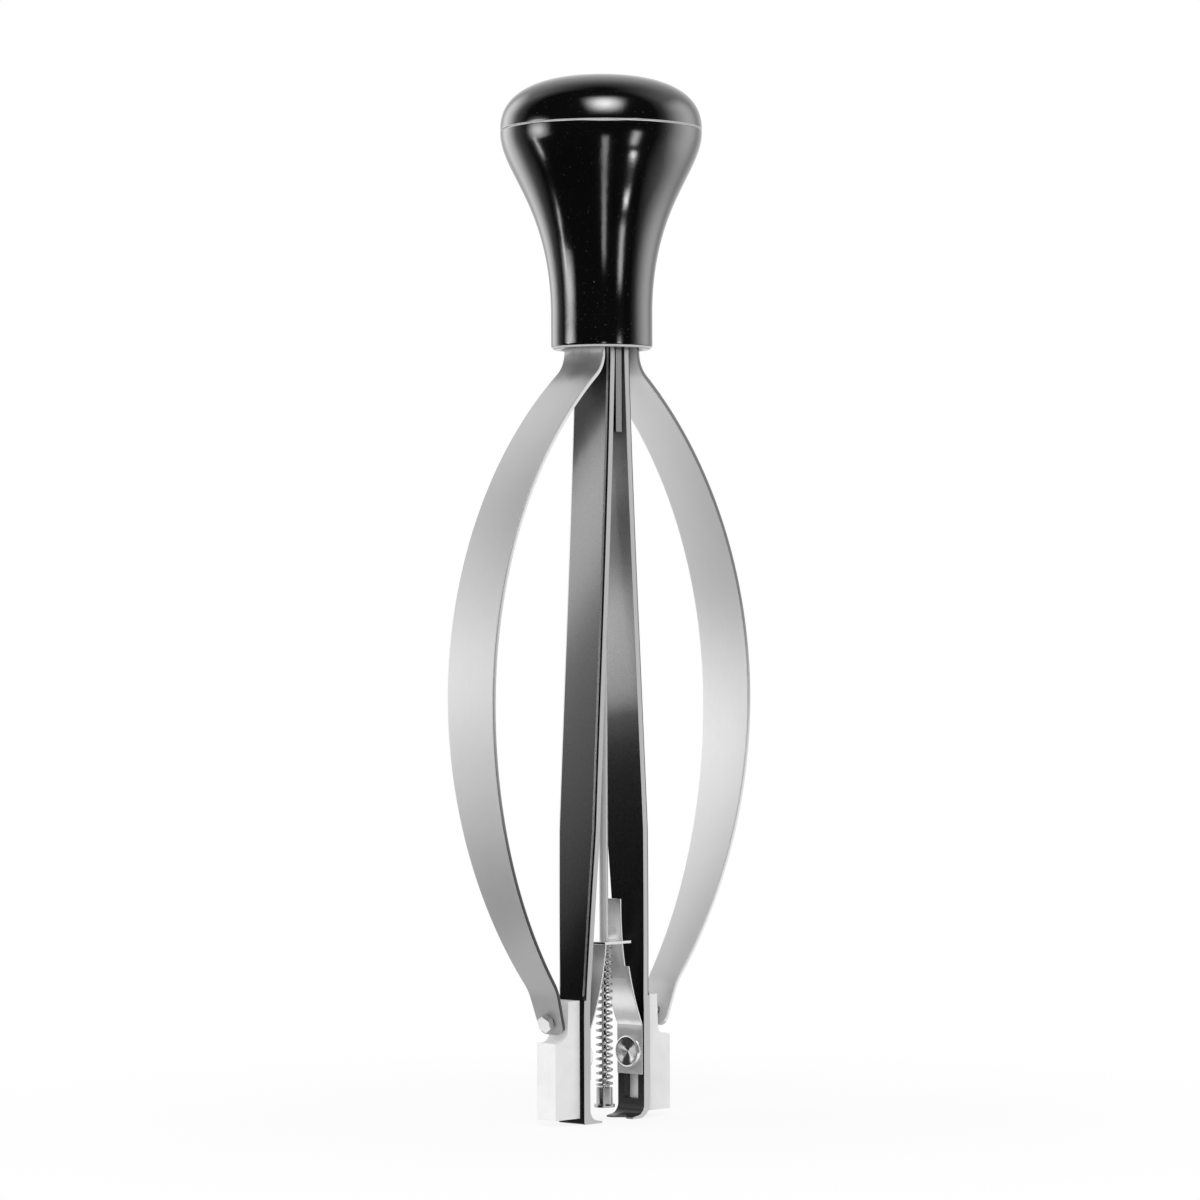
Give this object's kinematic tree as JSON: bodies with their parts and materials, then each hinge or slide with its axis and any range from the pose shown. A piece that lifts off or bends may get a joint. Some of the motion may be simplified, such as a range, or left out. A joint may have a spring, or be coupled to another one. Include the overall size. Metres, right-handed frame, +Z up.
{
  "type": "clock hand remover",
  "caption": "Clock hand remover: domed palm knob, slim hooked arms, bowed side springs that slide plastic feet down past the hooks, and a sprung central ejector cup.",
  "frame": {"origin": "under the middle of the tool, level with the soles of the hooks", "axes": "+Z up the tool towards the knob, +X from the left arm to the right arm, Y across the width of the strips"},
  "size_m": [0.0678, 0.0362, 0.187],
  "materials": {
    "knob": "gloss black moulded plastic",
    "bow_steel": "satin ground spring steel",
    "arm_steel": "polished spring steel",
    "bright_steel": "bright polished steel",
    "foot_plastic": "white moulded plastic"
  },
  "bodies": {
    "handle": {"handle_body": "knob", "handle_cap": "knob", "handle_nut": "bright_steel", "handle_washer": "bright_steel", "tang": "arm_steel", "root_rivets": "bright_steel", "left_spacer": "arm_steel", "right_spacer": "arm_steel", "left_bow_root": "bow_steel", "right_bow_root": "bow_steel", "guide_tube": "bright_steel", "spring_seat": "bright_steel", "coil_spring": "bright_steel"},
    "ejector": {"plunger_pin": "bright_steel", "ejector_cup": "bright_steel"},
    "left_arm": {"left_arm": "arm_steel"},
    "left_slider": {"left_block": "foot_plastic", "left_guide_screw": "bright_steel", "left_leaf": "bright_steel", "left_bow_bolt": "bright_steel"},
    "left_bow_lower": {"left_bow_lower": "bow_steel"},
    "left_bow_upper": {"left_bow_upper": "bow_steel"},
    "right_arm": {"right_arm": "arm_steel"},
    "right_slider": {"right_block": "foot_plastic", "right_guide_screw": "bright_steel", "right_leaf": "bright_steel", "right_bow_bolt": "bright_steel"},
    "right_bow_lower": {"right_bow_lower": "bow_steel"},
    "right_bow_upper": {"right_bow_upper": "bow_steel"}
  },
  "joints": [
    {"name": "left_arm_close", "type": "hinge", "parent": "handle", "child": "left_arm", "pos_m": [-0.00207, 0, 0.149], "axis": [0, -1, 0], "range_deg": [0, 1], "stiffness_Nm_per_rad": 20, "deforming": ["left_leaf"]},
    {"name": "left_feet_slide", "type": "slide", "parent": "left_arm", "child": "left_slider", "axis": [0, 0, -1], "range_m": [0, 0.005], "stiffness_N_per_m": 1500},
    {"name": "left_bow_foot_flex", "type": "hinge", "parent": "left_slider", "child": "left_bow_lower", "pos_m": [-0.0139, 0, 0.0186], "axis": [0, 1, 0], "range_deg": [0, 7.4]},
    {"name": "left_bow_mid_flex", "type": "hinge", "parent": "left_bow_lower", "child": "left_bow_upper", "pos_m": [-0.0335, 0, 0.075], "axis": [0, -1, 0], "range_deg": [0, 13.8]},
    {"name": "right_arm_close", "type": "hinge", "parent": "handle", "child": "right_arm", "pos_m": [0.00207, 0, 0.149], "axis": [0, 1, 0], "range_deg": [0, 1], "stiffness_Nm_per_rad": 20, "deforming": ["right_leaf"]},
    {"name": "right_feet_slide", "type": "slide", "parent": "right_arm", "child": "right_slider", "axis": [0, 0, -1], "range_m": [0, 0.005], "stiffness_N_per_m": 1500},
    {"name": "right_bow_foot_flex", "type": "hinge", "parent": "right_slider", "child": "right_bow_lower", "pos_m": [0.0139, 0, 0.0186], "axis": [0, -1, 0], "range_deg": [0, 7.4]},
    {"name": "right_bow_mid_flex", "type": "hinge", "parent": "right_bow_lower", "child": "right_bow_upper", "pos_m": [0.0335, 0, 0.075], "axis": [0, 1, 0], "range_deg": [0, 13.8]},
    {"name": "ejector_push", "type": "slide", "parent": "handle", "child": "ejector", "axis": [0, 0, 1], "range_m": [0, 0.004], "stiffness_N_per_m": 300, "springref_m": -0.002, "deforming": ["coil_spring"]}
  ],
  "couplings": [
    {"joint": "left_bow_foot_flex", "follows": "left_feet_slide", "rad_per_m": 25.604},
    {"joint": "left_bow_mid_flex", "follows": "left_feet_slide", "rad_per_m": 47.768},
    {"joint": "right_bow_foot_flex", "follows": "right_feet_slide", "rad_per_m": 25.604},
    {"joint": "right_bow_mid_flex", "follows": "right_feet_slide", "rad_per_m": 47.768}
  ]
}
